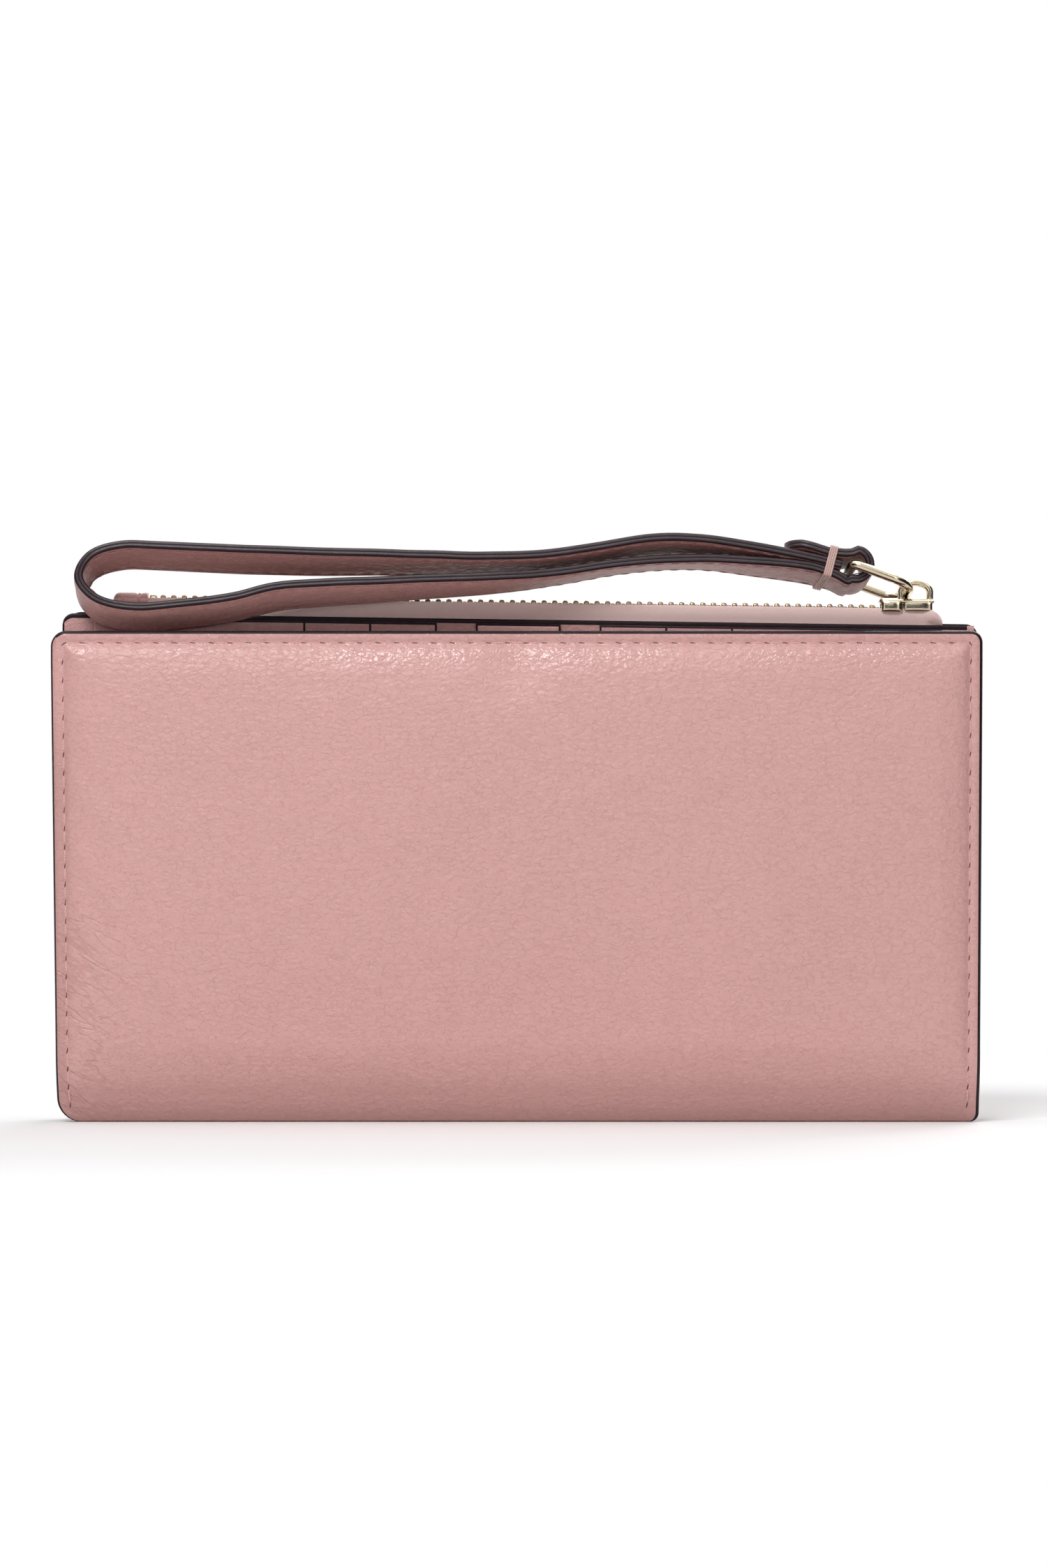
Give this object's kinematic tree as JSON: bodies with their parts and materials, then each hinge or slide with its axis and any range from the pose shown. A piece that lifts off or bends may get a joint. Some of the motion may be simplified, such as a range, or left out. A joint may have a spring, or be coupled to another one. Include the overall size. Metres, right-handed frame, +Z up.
{
  "type": "wristlet wallet",
  "caption": "Long bifold leather wallet on its spine, with press stud, card slots, zip pocket and a wrist strap ringed to the zip slider.",
  "frame": {"origin": "middle of the flat spine base that the closed wallet stands on", "axes": "+X along the spine to the right, +Y from the near cover to the far cover, +Z up to the zip and strap"},
  "size_m": [0.19, 0.0226, 0.123],
  "materials": {
    "cover_leather": "soft pebbled, satin",
    "pocket_leather": "smooth satin",
    "strap_leather": "pebbled, satin",
    "lining_fabric": "fine weave",
    "stiffener_board": "matte board",
    "zip_tape_fabric": "twill weave",
    "zip_metal": "polished pale gold",
    "snap_metal": "polished pale gold",
    "binding_thread": "twisted thread"
  },
  "bodies": {
    "spine": {"spine_cover": "cover_leather", "spine_lining": "lining_fabric"},
    "near_half": {"near_cover": "cover_leather", "near_board": "stiffener_board", "near_lining": "lining_fabric", "near_slip_pocket": "pocket_leather", "near_card_left_1": "pocket_leather", "near_card_left_2": "pocket_leather", "near_card_left_3": "pocket_leather", "near_card_right_1": "pocket_leather", "near_card_right_2": "pocket_leather", "near_card_right_3": "pocket_leather", "snap_cap": "snap_metal", "snap_socket": "snap_metal"},
    "far_half": {"far_cover": "cover_leather", "far_board": "stiffener_board", "far_lining": "lining_fabric", "zip_pocket_back": "pocket_leather", "zip_pocket_front": "pocket_leather", "zip_pocket_gusset": "lining_fabric", "far_card_left_1": "pocket_leather", "far_card_left_2": "pocket_leather", "far_card_left_3": "pocket_leather", "far_card_right_1": "pocket_leather", "far_card_right_2": "pocket_leather", "far_card_right_3": "pocket_leather", "snap_patch": "pocket_leather", "snap_post": "snap_metal", "snap_stud": "snap_metal", "zip_tape_front": "zip_tape_fabric", "zip_tape_back": "zip_tape_fabric", "zip_teeth_front": "zip_metal", "zip_teeth_back": "zip_metal", "zip_bottom_stop": "zip_metal", "zip_top_stops": "zip_metal", "zip_end_tab": "pocket_leather"},
    "slider": {"slider_body": "zip_metal", "slider_bridge": "zip_metal"},
    "ring": {"pull_ring": "zip_metal"},
    "strap": {"strap_outer": "strap_leather", "strap_lining": "strap_leather", "strap_binding": "binding_thread"}
  },
  "joints": [
    {"name": "near_cover_fold", "type": "hinge", "parent": "spine", "child": "near_half", "pos_m": [0, -0.00825, 0.00175], "axis": [1, 0, 0], "range_deg": [0, 90]},
    {"name": "far_cover_fold", "type": "hinge", "parent": "spine", "child": "far_half", "pos_m": [0, 0.00825, 0.00175], "axis": [-1, 0, 0], "range_deg": [0, 90]},
    {"name": "zip_slide", "type": "slide", "parent": "far_half", "child": "slider", "axis": [-0.9999, 0, 0.014], "range_m": [0, 0.15]},
    {"name": "ring_swing", "type": "hinge", "parent": "slider", "child": "ring", "pos_m": [0.0808, 0.0043, 0.10962], "axis": [0, 1, 0], "range_deg": [0, 110]},
    {"name": "strap_swing", "type": "hinge", "parent": "ring", "child": "strap", "pos_m": [0.06847, 0.0043, 0.11511], "axis": [0, 1, 0], "range_deg": [0, 45]}
  ]
}
